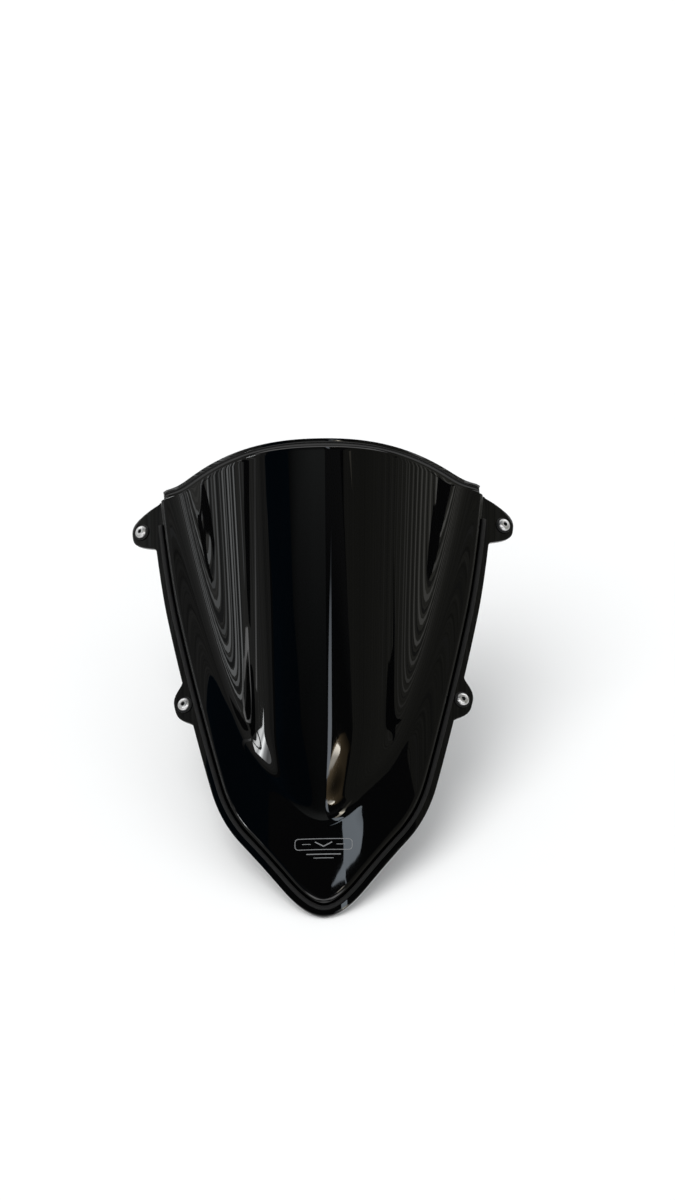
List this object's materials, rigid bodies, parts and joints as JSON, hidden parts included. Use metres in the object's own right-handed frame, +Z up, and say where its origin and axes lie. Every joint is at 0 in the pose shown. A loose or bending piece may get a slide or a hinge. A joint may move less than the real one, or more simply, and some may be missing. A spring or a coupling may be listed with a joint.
{
  "type": "motorcycle windshield screen",
  "caption": "Dark tinted bubble windshield screen with a pointed nose, a flared top lip, a stepped mounting flange with a rubber edge seal, and rubber-mounted screw fixings.",
  "frame": {"origin": "centre of the pattern of four screw seats, on the middle plane of the screen", "axes": "attitude in use on the vehicle: +Z up, -Y to the front where the pointed nose is, +X to the right of someone who faces the front of the screen. Left and right in the names follow the same view"},
  "size_m": [0.2834, 0.3004, 0.2337],
  "materials": {
    "tinted_acrylic": "polished, very dark smoke tint",
    "seal_rubber": "satin black",
    "screw_steel": "bright stainless",
    "washer_nylon": "black nylon",
    "nut_rubber": "matt black moulded rubber",
    "insert_brass": "turned"
  },
  "bodies": {
    "root": {"screen": "tinted_acrylic", "edge_seal": "seal_rubber", "upper_left_screw": "screw_steel", "upper_left_washer": "washer_nylon", "upper_left_well_nut": "nut_rubber", "upper_left_insert": "insert_brass", "upper_right_screw": "screw_steel", "upper_right_washer": "washer_nylon", "upper_right_well_nut": "nut_rubber", "upper_right_insert": "insert_brass", "lower_left_screw": "screw_steel", "lower_left_washer": "washer_nylon", "lower_left_well_nut": "nut_rubber", "lower_left_insert": "insert_brass", "lower_right_screw": "screw_steel", "lower_right_washer": "washer_nylon", "lower_right_well_nut": "nut_rubber", "lower_right_insert": "insert_brass"}
  },
  "joints": []
}
